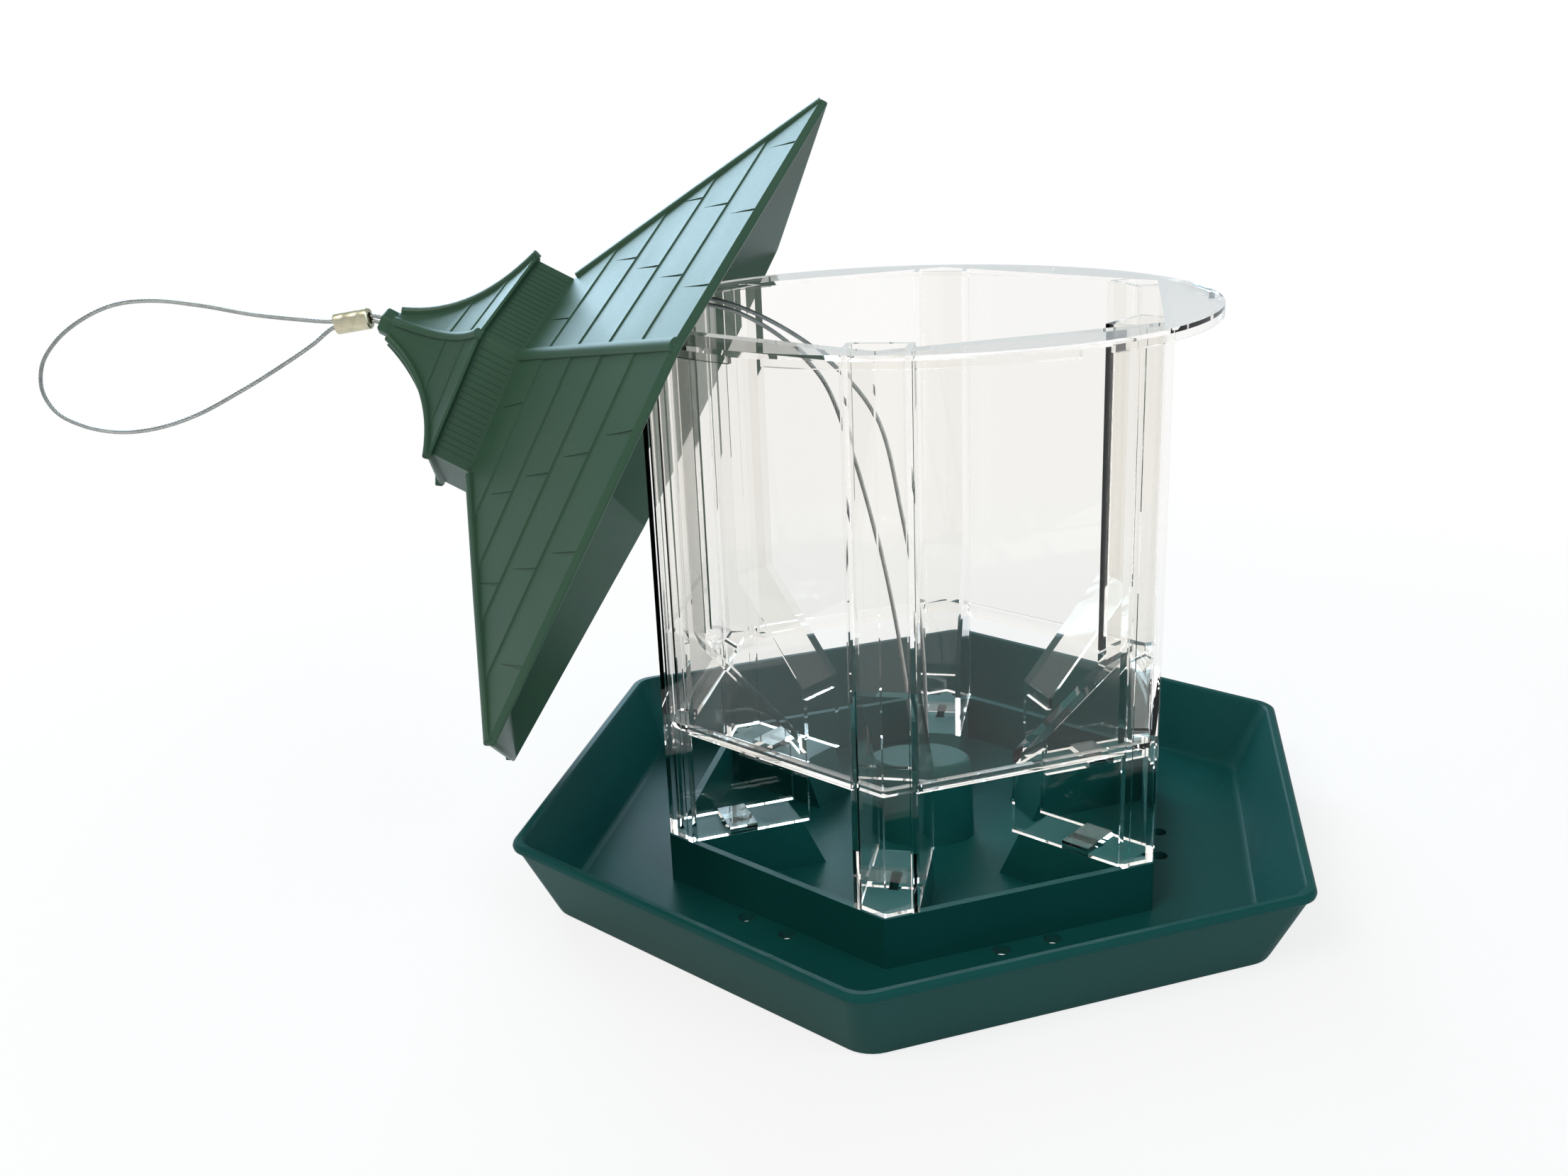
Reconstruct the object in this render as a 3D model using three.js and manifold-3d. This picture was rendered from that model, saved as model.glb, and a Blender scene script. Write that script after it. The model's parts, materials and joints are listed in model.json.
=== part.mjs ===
// A hanging hexagonal seed feeder: a tray with a raised curb, a clear hopper that stands on the curb, a
// two-tier roof that slides on the hanging cable, and a crimped cable loop. Millimetres, +Z up. The origin
// is the middle of the tray's underside, and one corner of the hexagon points toward -Y.
import * as THREE from "three";
import { mergeVertices } from "three/addons/utils/BufferGeometryUtils.js";
import Module from "manifold-3d";

const wasm = await Module();
wasm.setup();

// Driving dimensions. A hexagon's radius runs from its middle to a corner.
const SIDES = 6;
const GAP = 0.3; // left between pieces that touch

const TRAY_RADIUS = 120; // outside of the rim
const TRAY_HEIGHT = 22.7;
const TRAY_FLARE = 10.3; // the rim stands this much further out than the underside
const TRAY_WALL = 2.2;
const TRAY_FLOOR = 2.6;
const RIM_LIP = 1.3; // the rolled rim stands this far out of the wall
const RIM_DEPTH = 2.6;

const CURB_TOP = 16.6;
const CURB_WALL = 2;
const CURB_MARGIN = 0.4; // the curb stands out past the hopper by this
const PAD_WIDTH = 15;
const PAD_INNER = 39; // inner end of a pad at its top
const PAD_SLOPE = 7; // how much further in the pad's foot reaches
const DRAIN_RADIUS = 2.3;
const DRAIN_SPACING = 14.4;

const BOSS_TOP = 27;
const BOSS_LENGTH = 28;
const BOSS_WIDTH = 18;
const CABLE_HOLE_SPACING = 3.8;
const CABLE_HOLE_DEPTH = 12;

const HOPPER_RADIUS = 75.3;
const HOPPER_TOP = 157.3;
const HOPPER_WALL = 2;
const PORT_TOP = 49; // the feed ports reach from the curb up to this
const POST_WIDTH = 16; // across a corner post
const POST_DEPTH = 13.3; // from the hopper's corner in to the post's inner wall
const POST_INNER = HOPPER_RADIUS - POST_DEPTH;
const FIN_WALL = 1.6;
const CHUTE_INNER = 37; // lower end of the sloped plate at the foot of each post
const CHUTE_LOW = 41;
const CHUTE_HIGH = 72;
const CHUTE_NOSE = 4;
const LEDGE_WIDTH = 5; // along the top of each feed port
const LEDGE_THICKNESS = 1.6;
const RIB_WIDTH = 2; // upright ribs on the outside of each post's edges
const RIB_HEIGHT = 0.6;
const TAB_LENGTH = 8;
const TAB_WIDTH = 2.4;
const TAB_DEPTH = 4;
const TAB_RADIUS = 56; // from the middle to a foot's tab

const FLANGE_REACH = 3.7; // the round flange stands this far out past the hopper's corners
const FLANGE_THICKNESS = 1.5;
const FLANGE_LIP = 3.2;
const NOTCH_WIDTH = 9;

const EAVE_RADIUS = 105.25;
const EAVE_THICKNESS = 1.5;
const LOWER_TIER_RISE = 39.5;
const COLLAR_RADIUS = 34.6;
const COLLAR_RISE = 11.6;
const UPPER_EAVE = 2; // the upper tier's eave stands this far past the collar
const ROOF_HEIGHT = 84.2;
const ROOF_WALL = 2.4; // measured upright
const HUB_RADIUS = 4;
const HUB_HEIGHT = 8;
const HIP_WIDTH = 3;
const HIP_RISE = 1.2;

const ROOF_TILT = 61.6; // of the roof's axis from upright, as it hangs over the hopper's side
const ROOF_AZIMUTH = 185.3;
const SWING_RADIUS = 81.05; // from the point that the roof turns about to the eave plane
const SWING_LIFT = 1.05; // the eave plane's height over the hopper's top once the roof is upright

const CABLE_RADIUS = 0.6;
const STRAND_CLEARANCE = 0.3; // between the two runs in the ferrule and the roof's hub
const STRAND_SPACING = 2 * CABLE_RADIUS + STRAND_CLEARANCE;
const LOOP_DROOP = 8.5; // the loop points this far below level
const FERRULE_LENGTH = 10.5;
const FERRULE_WIDTH = 6;
const FERRULE_THICKNESS = 4.2;
const FERRULE_STANDOFF = 4; // from the roof's hub to the ferrule

// Corners and flats, as angles about +Z.
const CORNERS = Array.from({ length: SIDES }, (_, i) => 30 + 60 * i);
const FLATS = Array.from({ length: SIDES }, (_, i) => 60 * i);
const radians = THREE.MathUtils.degToRad;
const FLAT_SHARE = Math.cos(radians(30)); // a hexagon's middle-to-flat distance over its radius

// Materials.
const green = { color: 0x144b44, roughness: 0.38, metalness: 0 };
const trayPlastic = new THREE.MeshStandardMaterial(green);
const roofPlastic = new THREE.MeshStandardMaterial({ ...green, color: 0x4f7a78 });
const clearPlastic = new THREE.MeshStandardMaterial({
  color: 0xe9edf4,
  roughness: 0.06,
  metalness: 0,
  transparent: true,
  opacity: 0.3,
});
const steel = new THREE.MeshStandardMaterial({ color: 0xa8a9ab, roughness: 0.35, metalness: 1 });
const aluminium = new THREE.MeshStandardMaterial({ color: 0xbfb9a8, roughness: 0.3, metalness: 1 });

// A closed geometry as a solid that can be joined and cut.
function solid(geometry) {
  const bare = new THREE.BufferGeometry();
  bare.setAttribute("position", geometry.getAttribute("position"));
  bare.setIndex(geometry.index);
  const merged = mergeVertices(bare, 1e-4);
  const corners = merged.index.array;
  const triVerts = [];
  for (let i = 0; i < corners.length; i += 3) {
    const [a, b, c] = corners.slice(i, i + 3);
    if (a !== b && b !== c && c !== a) triVerts.push(a, b, c);
  }
  return new wasm.Manifold(
    new wasm.Mesh({
      numProp: 3,
      vertProperties: merged.attributes.position.array,
      triVerts: new Uint32Array(triVerts),
    }),
  );
}

function joined(solids) {
  return solids.reduce((sum, next) => sum.add(next));
}

// The main body, without the slivers that grazing faces leave.
function largest(shape) {
  return shape.decompose().reduce((most, next) => (next.volume() > most.volume() ? next : most));
}

function named(name, shape, material) {
  const { vertProperties, triVerts } = shape.getMesh();
  const geometry = new THREE.BufferGeometry();
  geometry.setAttribute("position", new THREE.BufferAttribute(vertProperties, 3));
  geometry.setIndex(new THREE.BufferAttribute(triVerts, 1));
  geometry.computeVertexNormals();
  const mesh = new THREE.Mesh(geometry, material);
  mesh.name = name;
  return mesh;
}

// A [radius, height] profile, run anticlockwise, turned about Z. Six segments make a hexagon.
function turned(profile, segments = SIDES) {
  const points = profile.map(([r, z]) => new THREE.Vector2(r, z));
  return new THREE.LatheGeometry(points, segments).rotateX(Math.PI / 2);
}

function ring(profile, segments = SIDES) {
  return solid(turned([...profile, profile[0]], segments));
}

function hexPrism(radius, bottom, top) {
  return solid(turned([[0, bottom], [radius, bottom], [radius, top], [0, top]]));
}

function drill(radius, x, y, bottom, top, segments = 16) {
  const height = top - bottom;
  const geometry = new THREE.CylinderGeometry(radius, radius, height, segments).rotateX(Math.PI / 2);
  return solid(geometry.translate(x, y, (top + bottom) / 2));
}

// A box that lies along the direction of an angle about Z.
function radialBox(angle, [near, far], width, [bottom, top], aside = 0) {
  const geometry = new THREE.BoxGeometry(far - near, width, top - bottom);
  geometry.translate((near + far) / 2, aside, (top + bottom) / 2);
  return solid(geometry.rotateZ(radians(angle)));
}

// An upright plate cut to an outline of [distance from the middle, height] points.
function radialPlate(angle, outline, thickness, aside = 0) {
  const shape = new THREE.Shape(outline.map(([r, z]) => new THREE.Vector2(r, z)));
  const geometry = new THREE.ExtrudeGeometry(shape, { depth: thickness, bevelEnabled: false });
  geometry.rotateX(Math.PI / 2).translate(0, aside + thickness / 2, 0);
  return solid(geometry.rotateZ(radians(angle)));
}

// A round bar along a curve.
function tube(curve, radius, steps) {
  const section = Array.from({ length: 8 }, (_, i) => {
    const turn = radians(45 * i);
    return new THREE.Vector2(radius * Math.cos(turn), radius * Math.sin(turn));
  });
  return solid(new THREE.ExtrudeGeometry(new THREE.Shape(section), { steps, extrudePath: curve }));
}

const curbRadius = HOPPER_RADIUS + CURB_MARGIN;
const footBottom = CURB_TOP + GAP;
const holeRadius = CABLE_RADIUS + GAP;

function makeTray() {
  const under = TRAY_RADIUS - TRAY_FLARE;
  const wallTop = TRAY_RADIUS - RIM_LIP;
  const lipBottom = TRAY_HEIGHT - RIM_DEPTH;
  const inner = TRAY_WALL / FLAT_SHARE;
  const edge = 0.8;
  const shell = solid(
    turned([
      [0, 0],
      [under - edge, 0],
      [under, edge],
      [wallTop, lipBottom],
      [TRAY_RADIUS, lipBottom + edge],
      [TRAY_RADIUS, TRAY_HEIGHT - edge],
      [TRAY_RADIUS - edge, TRAY_HEIGHT],
      [wallTop - inner, TRAY_HEIGHT],
      [under - inner, TRAY_FLOOR],
      [0, TRAY_FLOOR],
    ]),
  );
  const sunk = TRAY_FLOOR / 2; // what stands on the floor starts inside it
  const curbInner = curbRadius - CURB_WALL / FLAT_SHARE;
  const curb = ring([[curbInner, sunk], [curbRadius, sunk], [curbRadius, CURB_TOP], [curbInner, CURB_TOP]]);
  const pad = [[PAD_INNER - PAD_SLOPE, sunk], [curbRadius, sunk], [curbRadius, CURB_TOP], [PAD_INNER, CURB_TOP]];
  const pads = joined(CORNERS.map((angle) => radialPlate(angle, pad, PAD_WIDTH)));
  const bossTaper = 1.5;
  const boss = solid(
    turned(
      [
        [0, sunk],
        [BOSS_LENGTH / 2 + bossTaper, sunk],
        [BOSS_LENGTH / 2 + bossTaper / 2, BOSS_TOP - bossTaper],
        [BOSS_LENGTH / 2 - bossTaper / 2, BOSS_TOP],
        [0, BOSS_TOP],
      ],
      32,
    ).scale(1, BOSS_WIDTH / BOSS_LENGTH, 1),
  );
  const body = joined([shell, curb, pads.intersect(hexPrism(curbRadius - sunk / 2, 0, CURB_TOP)), boss]);

  const drainAt = curbRadius * FLAT_SHARE + DRAIN_RADIUS + GAP;
  const drains = FLATS.flatMap((angle) =>
    [-1, 1].map((side) => {
      const place = new THREE.Vector3(drainAt, (side * DRAIN_SPACING) / 2, 0);
      place.applyAxisAngle(new THREE.Vector3(0, 0, 1), radians(angle));
      return drill(DRAIN_RADIUS, place.x, place.y, -1, TRAY_FLOOR + 1);
    }),
  );
  const cableHoles = [-1, 1].map((side) => {
    const x = (side * CABLE_HOLE_SPACING) / 2;
    return drill(holeRadius, x, 0, BOSS_TOP - CABLE_HOLE_DEPTH, BOSS_TOP + 1);
  });
  const slots = CORNERS.map((angle) => {
    const reach = TAB_LENGTH / 2 + GAP;
    const along = [TAB_RADIUS - reach, TAB_RADIUS + reach];
    return radialBox(angle, along, TAB_WIDTH + 2 * GAP, [CURB_TOP - TAB_DEPTH - GAP, CURB_TOP + 1]);
  });
  return body.subtract(joined([...drains, ...cableHoles, ...slots]));
}

function makeHopper() {
  const inner = HOPPER_RADIUS - HOPPER_WALL / FLAT_SHARE;
  const walls = ring([[inner, footBottom], [HOPPER_RADIUS, footBottom], [HOPPER_RADIUS, HOPPER_TOP], [inner, HOPPER_TOP]]);
  const flat = HOPPER_RADIUS * FLAT_SHARE;
  const portWidth = HOPPER_RADIUS - POST_WIDTH / FLAT_SHARE;
  const ports = joined(
    FLATS.map((angle) => radialBox(angle, [flat - 6, flat + 6], portWidth, [footBottom - 1, PORT_TOP])),
  );

  // A shelf that slopes in along the top of each feed port.
  const shelfEnd = inner - LEDGE_WIDTH;
  const shelf = ring([
    [shelfEnd, PORT_TOP - LEDGE_THICKNESS],
    [inner + 1, PORT_TOP],
    [inner + 1, PORT_TOP + LEDGE_THICKNESS],
    [shelfEnd, PORT_TOP],
  ]);

  // Each post is a hollow channel: two side fins, an inner wall, and a sloped chute plate at its foot.
  const side = (POST_WIDTH - FIN_WALL) / 2;
  const outside = HOPPER_RADIUS - POST_WIDTH / 2 / Math.tan(radians(60)) - HOPPER_WALL / 2;
  const finOutline = [
    [CHUTE_INNER, footBottom],
    [outside, footBottom],
    [outside, HOPPER_TOP],
    [POST_INNER, HOPPER_TOP],
    [POST_INNER, CHUTE_HIGH],
    [CHUTE_INNER, CHUTE_LOW],
  ];
  const plateOutline = [
    [CHUTE_INNER, CHUTE_LOW - CHUTE_NOSE],
    [CHUTE_INNER + FIN_WALL, CHUTE_LOW - CHUTE_NOSE],
    [CHUTE_INNER + FIN_WALL, CHUTE_LOW - FIN_WALL / 2],
    [POST_INNER + FIN_WALL, CHUTE_HIGH - FIN_WALL / 2],
    [POST_INNER + FIN_WALL, HOPPER_TOP],
    [POST_INNER, HOPPER_TOP],
    [POST_INNER, CHUTE_HIGH],
    [CHUTE_INNER, CHUTE_LOW],
  ];
  const posts = CORNERS.flatMap((angle) => [
    radialPlate(angle, finOutline, FIN_WALL, side),
    radialPlate(angle, finOutline, FIN_WALL, -side),
    radialPlate(angle, plateOutline, POST_WIDTH),
  ]);
  const tabs = CORNERS.flatMap((angle) => {
    const along = [TAB_RADIUS - TAB_LENGTH / 2, TAB_RADIUS + TAB_LENGTH / 2];
    return [
      radialBox(angle, along, TAB_WIDTH, [CURB_TOP - TAB_DEPTH, footBottom + FIN_WALL / 2]),
      radialBox(angle, along, POST_WIDTH - FIN_WALL, [footBottom, footBottom + FIN_WALL]),
    ];
  });
  const ribs = FLATS.flatMap((angle) =>
    [-1, 1].map((end) => {
      const along = [flat - HOPPER_WALL / 2, flat + RIB_HEIGHT];
      const upright = [footBottom, HOPPER_TOP - FLANGE_THICKNESS / 2];
      return radialBox(angle, along, RIB_WIDTH, upright, (end * (portWidth + RIB_WIDTH)) / 2);
    }),
  );

  // The round flange about the mouth, with a lip that hangs from its edge.
  const flangeRadius = HOPPER_RADIUS + FLANGE_REACH;
  const flangeBottom = HOPPER_TOP - FLANGE_THICKNESS;
  const flange = ring(
    [
      [inner * FLAT_SHARE - 1, flangeBottom],
      [flangeRadius - FLANGE_THICKNESS, flangeBottom],
      [flangeRadius - FLANGE_THICKNESS, HOPPER_TOP - FLANGE_LIP],
      [flangeRadius, HOPPER_TOP - FLANGE_LIP],
      [flangeRadius, HOPPER_TOP],
      [inner * FLAT_SHARE - 1, HOPPER_TOP],
    ],
    72,
  ).subtract(hexPrism(inner, flangeBottom - 1, HOPPER_TOP + 1));
  const notches = FLATS.map((angle) => {
    const across = [flangeRadius - 2 * FLANGE_THICKNESS, flangeRadius + 1];
    return radialBox(angle + 8, across, NOTCH_WIDTH, [HOPPER_TOP - FLANGE_LIP - 1, flangeBottom]);
  });
  return joined([walls.subtract(ports), shelf, ...posts, ...tabs, ...ribs, flange]).subtract(joined(notches));
}

// Outer line of the roof from its eave to its hub. lift raises the line, for the caps on the hips.
function roofLine(lift = 0) {
  const tierTop = LOWER_TIER_RISE + EAVE_THICKNESS;
  const collarTop = tierTop + COLLAR_RISE;
  const upper = new THREE.QuadraticBezierCurve(
    new THREE.Vector2(COLLAR_RADIUS + UPPER_EAVE, collarTop),
    new THREE.Vector2(HUB_RADIUS + 8, collarTop + 9),
    new THREE.Vector2(HUB_RADIUS + 0.8, ROOF_HEIGHT - HUB_HEIGHT / 2),
  );
  return [
    [EAVE_RADIUS, EAVE_THICKNESS + lift],
    [COLLAR_RADIUS + lift, tierTop + lift],
    [COLLAR_RADIUS + lift, collarTop - 1],
    [COLLAR_RADIUS + UPPER_EAVE + lift, collarTop],
    ...upper.getPoints(7).map((p) => [p.x + lift / 2, p.y + lift]),
  ];
}

// The roof about its own axis, with its eave plane at z = 0 and a corner toward +X.
function makeRoof() {
  const slope = LOWER_TIER_RISE / (EAVE_RADIUS - COLLAR_RADIUS);
  const eaveInner = EAVE_RADIUS - (ROOF_WALL - EAVE_THICKNESS) / slope;
  const collarInner = COLLAR_RADIUS - ROOF_WALL;
  const collarFoot = slope * (eaveInner - collarInner);
  const upperInner = new THREE.QuadraticBezierCurve(
    new THREE.Vector2(collarInner, collarFoot + COLLAR_RISE - 0.5),
    new THREE.Vector2(HUB_RADIUS + 4, collarFoot + COLLAR_RISE + 7.5),
    new THREE.Vector2(holeRadius + STRAND_SPACING / 2 + GAP, ROOF_HEIGHT - HUB_HEIGHT),
  );
  const bore = holeRadius + STRAND_SPACING / 2 + GAP;
  const shell = ring([
    [EAVE_RADIUS, 0],
    ...roofLine(),
    [HUB_RADIUS, ROOF_HEIGHT - HUB_HEIGHT / 2 + 0.6],
    [HUB_RADIUS, ROOF_HEIGHT],
    [bore, ROOF_HEIGHT],
    ...upperInner.getPoints(7).reverse().map((p) => [p.x, p.y]),
    [collarInner, collarFoot],
    [eaveInner, 0],
  ]);
  const raised = ring([...roofLine(HIP_RISE), ...roofLine(-ROOF_WALL / 3).reverse()]);
  const bars = joined(
    CORNERS.map((angle) => radialBox(angle, [HUB_RADIUS, EAVE_RADIUS], HIP_WIDTH, [0, ROOF_HEIGHT])),
  );
  return largest(joined([shell, raised.intersect(bars)])).rotate([0, 0, 30]);
}

// The roof hangs on the cable, tipped over the hopper's side. Its axis passes through the swing point.
const axis = new THREE.Vector3(0, 0, 1)
  .applyAxisAngle(new THREE.Vector3(0, 1, 0), radians(ROOF_TILT))
  .applyAxisAngle(new THREE.Vector3(0, 0, 1), radians(ROOF_AZIMUTH));
const level = new THREE.Vector3().crossVectors(axis, new THREE.Vector3(0, 0, 1)).normalize();
const upslope = new THREE.Vector3().crossVectors(level, axis);
const swingPoint = new THREE.Vector3(0, 0, HOPPER_TOP + SWING_LIFT - SWING_RADIUS);
const hub = swingPoint.clone().addScaledVector(axis, SWING_RADIUS + ROOF_HEIGHT);
const loopAhead = new THREE.Vector3(-Math.cos(radians(LOOP_DROOP)), 0, -Math.sin(radians(LOOP_DROOP)));
const loopUp = new THREE.Vector3(loopAhead.z, 0, -loopAhead.x);
const ferruleMouth = hub
  .clone()
  .addScaledVector(axis, FERRULE_STANDOFF / 2)
  .addScaledVector(loopAhead, FERRULE_STANDOFF / 2);

function roofPlaced(mesh) {
  mesh.quaternion.setFromRotationMatrix(new THREE.Matrix4().makeBasis(upslope.clone(), level.clone(), axis.clone()));
  mesh.position.copy(swingPoint).addScaledVector(axis, SWING_RADIUS);
  return mesh;
}

// One run of the cable, from its hole in the boss, over the flange and through the roof's hub to the
// ferrule. side is 1 for the right, upper run and -1 for the left, lower one. The points inside the hopper
// are [x, y, height under or over the hopper's top].
function makeStrand(side, slack) {
  const offset = (side * STRAND_SPACING) / 2;
  const onAxis = (distance) =>
    hub.clone().addScaledVector(axis, distance).addScaledVector(upslope, offset);
  const x = (side * CABLE_HOLE_SPACING) / 2;
  const curve = new THREE.CatmullRomCurve3([
    new THREE.Vector3(x, 0, BOSS_TOP - CABLE_HOLE_DEPTH + GAP),
    new THREE.Vector3(x, 0, BOSS_TOP - CABLE_HOLE_DEPTH / 2),
    new THREE.Vector3(x, 0, BOSS_TOP + 2),
    ...slack.map(([px, py, pz]) => new THREE.Vector3(px, py, HOPPER_TOP + pz)),
    onAxis(-22),
    onAxis(-15),
    onAxis(-8),
    onAxis(-1),
    ferruleMouth.clone().addScaledVector(loopAhead, -GAP).addScaledVector(loopUp, offset),
  ]);
  return tube(curve, CABLE_RADIUS, 78);
}

const upperSlack = [
  [0.6, 0, -92],
  [-4.5, 0, -57],
  [-10.5, -0.5, -31],
  [-20, -1, -18],
  [-34, -1.5, -7],
  [-50, -2, 0.6],
  [-65, -2.6, 3.2],
  [-80, -4, 2.8],
  [-95, -6.3, -1.2],
  [-110, -9.2, -7],
];
const lowerSlack = [
  [-6, 1, -94],
  [-12.5, 1, -60],
  [-19, 0.4, -36],
  [-25, -1.2, -20],
  [-35, -3, -9],
  [-48, -4.4, -1.2],
  [-63, -5.4, 1.7],
  [-78, -6.8, 1.6],
  [-94, -8.6, -3.4],
  [-109, -10.4, -9.6],
];

// The crimped sleeve: an oval section along the cable, with an oval bore that takes both runs.
function makeFerrule() {
  const oval = (width, thickness) => {
    const shape = new THREE.Shape();
    const reach = (width - thickness) / 2;
    shape.absarc(reach, 0, thickness / 2, -Math.PI / 2, Math.PI / 2, false);
    shape.absarc(-reach, 0, thickness / 2, Math.PI / 2, (3 * Math.PI) / 2, false);
    return shape;
  };
  const bore = oval(STRAND_SPACING + 2 * holeRadius, 2 * holeRadius);
  const sleeve = oval(FERRULE_WIDTH, FERRULE_THICKNESS);
  const options = { bevelEnabled: false, curveSegments: 10 };
  const outside = new THREE.ExtrudeGeometry(sleeve, { ...options, depth: FERRULE_LENGTH });
  const inside = new THREE.ExtrudeGeometry(bore, { ...options, depth: FERRULE_LENGTH + 2 });
  return solid(outside).subtract(solid(inside.translate(0, 0, -1)));
}

function ferrulePlaced(mesh) {
  const across = new THREE.Vector3().crossVectors(loopAhead, loopUp);
  mesh.quaternion.setFromRotationMatrix(new THREE.Matrix4().makeBasis(loopUp.clone(), across, loopAhead.clone()));
  mesh.position.copy(ferruleMouth);
  return mesh;
}

// The hanging loop: out of the ferrule's upper run, round, and back into the lower one. The points are
// [distance past the ferrule's mouth, height over its middle line].
function makeLoop() {
  const start = FERRULE_LENGTH / 4;
  const spread = STRAND_SPACING / 2;
  const route = [
    [start, spread],
    [FERRULE_LENGTH + 0.5, spread],
    [20, 2.6],
    [34, 6.2],
    [50, 11.4],
    [64, 15],
    [77, 15.8],
    [89, 13.2],
    [99, 8.6],
    [105.8, 2.6],
    [108.3, -4.6],
    [106, -11.2],
    [98.6, -16.4],
    [88, -19.8],
    [76, -20.6],
    [61, -18.6],
    [44, -13.6],
    [28, -8],
    [19, -4.4],
    [FERRULE_LENGTH + 0.5, -spread],
    [start, -spread],
  ];
  const curve = new THREE.CatmullRomCurve3(
    route.map(([ahead, up]) =>
      ferruleMouth.clone().addScaledVector(loopAhead, ahead).addScaledVector(loopUp, up),
    ),
  );
  return tube(curve, CABLE_RADIUS, 78);
}

const feeder = new THREE.Group();
feeder.add(
  named("tray", makeTray(), trayPlastic),
  named("hopper", makeHopper(), clearPlastic),
  roofPlaced(named("roof", makeRoof(), roofPlastic)),
  named("cable_strand_right", makeStrand(1, upperSlack), steel),
  named("cable_strand_left", makeStrand(-1, lowerSlack), steel),
  ferrulePlaced(named("ferrule", makeFerrule(), aluminium)),
  named("hanger_loop", makeLoop(), steel),
);

export default feeder;
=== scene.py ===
# %% [markdown]
# # A hanging seed feeder
# The feeder has a green tray, a clear hexagonal hopper and a two-tier roof that rides on a steel cable.
# The frame holds every piece at its real size and place. This script gives the pieces their fine shape
# and their finish, and it works in millimetres until a mesh is made.

# %% Tools and frame
import json
import math

import bmesh
import bpy
import numpy as np
from mathutils import Matrix, Vector


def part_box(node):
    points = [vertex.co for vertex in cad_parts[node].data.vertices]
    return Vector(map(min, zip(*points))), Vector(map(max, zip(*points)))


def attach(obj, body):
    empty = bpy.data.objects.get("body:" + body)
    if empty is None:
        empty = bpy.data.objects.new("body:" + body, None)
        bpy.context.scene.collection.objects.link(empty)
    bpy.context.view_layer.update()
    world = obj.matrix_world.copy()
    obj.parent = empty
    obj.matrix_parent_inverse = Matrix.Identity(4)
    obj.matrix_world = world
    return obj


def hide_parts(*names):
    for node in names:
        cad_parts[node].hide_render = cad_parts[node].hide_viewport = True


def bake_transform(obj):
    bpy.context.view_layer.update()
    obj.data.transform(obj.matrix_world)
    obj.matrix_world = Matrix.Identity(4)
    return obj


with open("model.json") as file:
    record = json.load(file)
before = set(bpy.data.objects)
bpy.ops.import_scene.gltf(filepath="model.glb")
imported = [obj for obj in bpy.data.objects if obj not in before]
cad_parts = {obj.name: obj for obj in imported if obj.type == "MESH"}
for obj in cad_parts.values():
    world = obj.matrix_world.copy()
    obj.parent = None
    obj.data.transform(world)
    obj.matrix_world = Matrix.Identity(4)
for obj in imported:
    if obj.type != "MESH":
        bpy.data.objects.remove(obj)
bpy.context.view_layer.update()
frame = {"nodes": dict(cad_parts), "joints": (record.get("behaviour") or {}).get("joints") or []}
MM = 0.001
UP = Vector((0, 0, 1))
joints = {joint["name"]: joint for joint in frame["joints"]}

# %% [markdown]
# ## Camera
# The feeder is seen from its front corner, a little above the rim, turned slightly to the left. A camera
# is placed by three angles: the turn about the upright, the tilt downwards and a small roll.

# %% Camera
CAMERA_AT = (51.05, -410.84, 216.9)
TURN, TILT, ROLL = -0.21425, 0.32175, -0.04178
FOCAL_WIDTHS = 0.99228  # focal length over the width of the picture


def camera_matrix(place, turn, tilt, roll):
    flat_share = math.cos(tilt)
    ahead = Vector((math.sin(turn) * flat_share, math.cos(turn) * flat_share, -math.sin(tilt)))
    level = Vector((math.cos(turn), -math.sin(turn), 0))
    above = level.cross(ahead)
    right = level * math.cos(roll) + above * math.sin(roll)
    over = above * math.cos(roll) - level * math.sin(roll)
    turned = Matrix((right, over, -ahead)).transposed().to_4x4()
    return Matrix.Translation(Vector(place) * MM) @ turned


lens = bpy.data.cameras.new("camera")
lens.sensor_width = 36
lens.lens = FOCAL_WIDTHS * lens.sensor_width
lens.clip_start = 0.01
camera = bpy.data.objects.new("camera", lens)
camera.matrix_world = camera_matrix(CAMERA_AT, TURN, TILT, ROLL)
bpy.context.collection.objects.link(camera)
bpy.context.scene.camera = camera
print("camera:", round(lens.lens, 1), "mm lens,", round(camera.location.length, 2), "m away")

# %% [markdown]
# ## Meshes from plain lists
# Every piece here is a list of points and faces. One function turns them into an object. Another one
# skins a row of rings, each with the same number of points, which is how walls, rims and wires are made.
# Closing the row on itself gives a wall with an inside, and capping the ends gives a solid.

# %% Mesh helpers
def piece(name, points, faces, place=None):
    mesh = bpy.data.meshes.new(name)
    mesh.from_pydata([Vector(p) * MM for p in points], [], faces)
    if place:
        mesh.transform(place)
    made = bpy.data.objects.new(name, mesh)
    bpy.context.collection.objects.link(made)
    face_outwards(made)
    return made


def face_outwards(made):
    shape = bmesh.new()
    shape.from_mesh(made.data)
    bmesh.ops.remove_doubles(shape, verts=shape.verts, dist=1e-7)
    bmesh.ops.recalc_face_normals(shape, faces=shape.faces)
    shape.to_mesh(made.data)
    shape.free()


def skin(rings, closed=False):
    """Points and faces of a tube through rings. It closes on itself, or has flat ends."""
    count = len(rings[0])
    points = [p for ring in rings for p in ring]
    faces = []
    for row in range(len(rings) if closed else len(rings) - 1):
        here, there = row * count, ((row + 1) % len(rings)) * count
        for i in range(count):
            j = (i + 1) % count
            faces.append((here + i, here + j, there + j, there + i))
    if not closed:
        faces.append(tuple(reversed(range(count))))
        faces.append(tuple(len(points) - count + i for i in range(count)))
    return points, faces


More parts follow.
